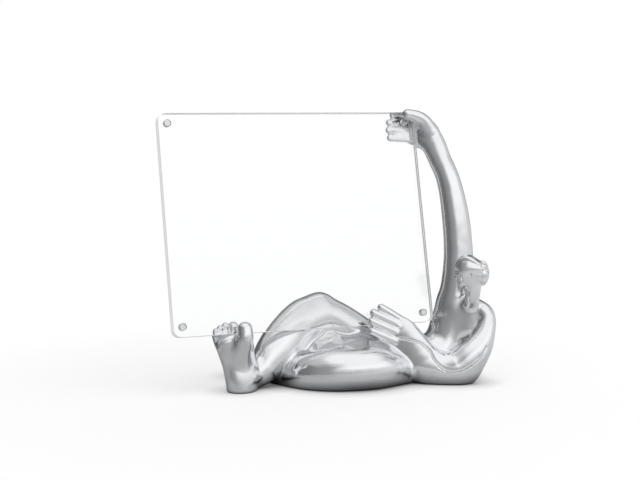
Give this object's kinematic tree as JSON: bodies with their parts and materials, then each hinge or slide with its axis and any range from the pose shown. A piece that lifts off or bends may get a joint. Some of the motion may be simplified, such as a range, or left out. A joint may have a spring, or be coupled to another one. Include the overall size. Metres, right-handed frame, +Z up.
{
  "type": "photo holder",
  "caption": "Polished cast figure lying on its back that grips a clear, upright photo panel of magnet-joined sheets between its toes and both hands.",
  "frame": {"origin": "on the table, below the middle of the panel's lower edge, on the flat underside of the straight leg", "axes": "+Z up, +X along the panel's width towards the raised arm, the panel's front faces -Y"},
  "size_m": [0.3018, 0.1376, 0.2531],
  "materials": {
    "polished_aluminium": "mirror polished casting",
    "clear_acrylic": "clear, with satin sawn edges",
    "nickel": "nickel plated"
  },
  "bodies": {
    "figure": {"figure": "polished_aluminium"},
    "back_panel": {"back_sheet": "clear_acrylic", "back_magnet_top_left": "nickel", "back_magnet_top_right": "nickel", "back_magnet_bottom_left": "nickel", "back_magnet_bottom_right": "nickel"},
    "front_panel": {"front_sheet": "clear_acrylic", "front_magnet_top_left": "nickel", "front_magnet_top_right": "nickel", "front_magnet_bottom_left": "nickel", "front_magnet_bottom_right": "nickel"}
  },
  "joints": [
    {"name": "panel_lift", "type": "slide", "parent": "figure", "child": "back_panel", "axis": [0, 0.2419, 0.9703], "range_m": [0, 0.215]},
    {"name": "front_sheet_slide", "type": "slide", "parent": "back_panel", "child": "front_panel", "axis": [0, 0.2419, 0.9703], "range_m": [0, 0.215]}
  ]
}
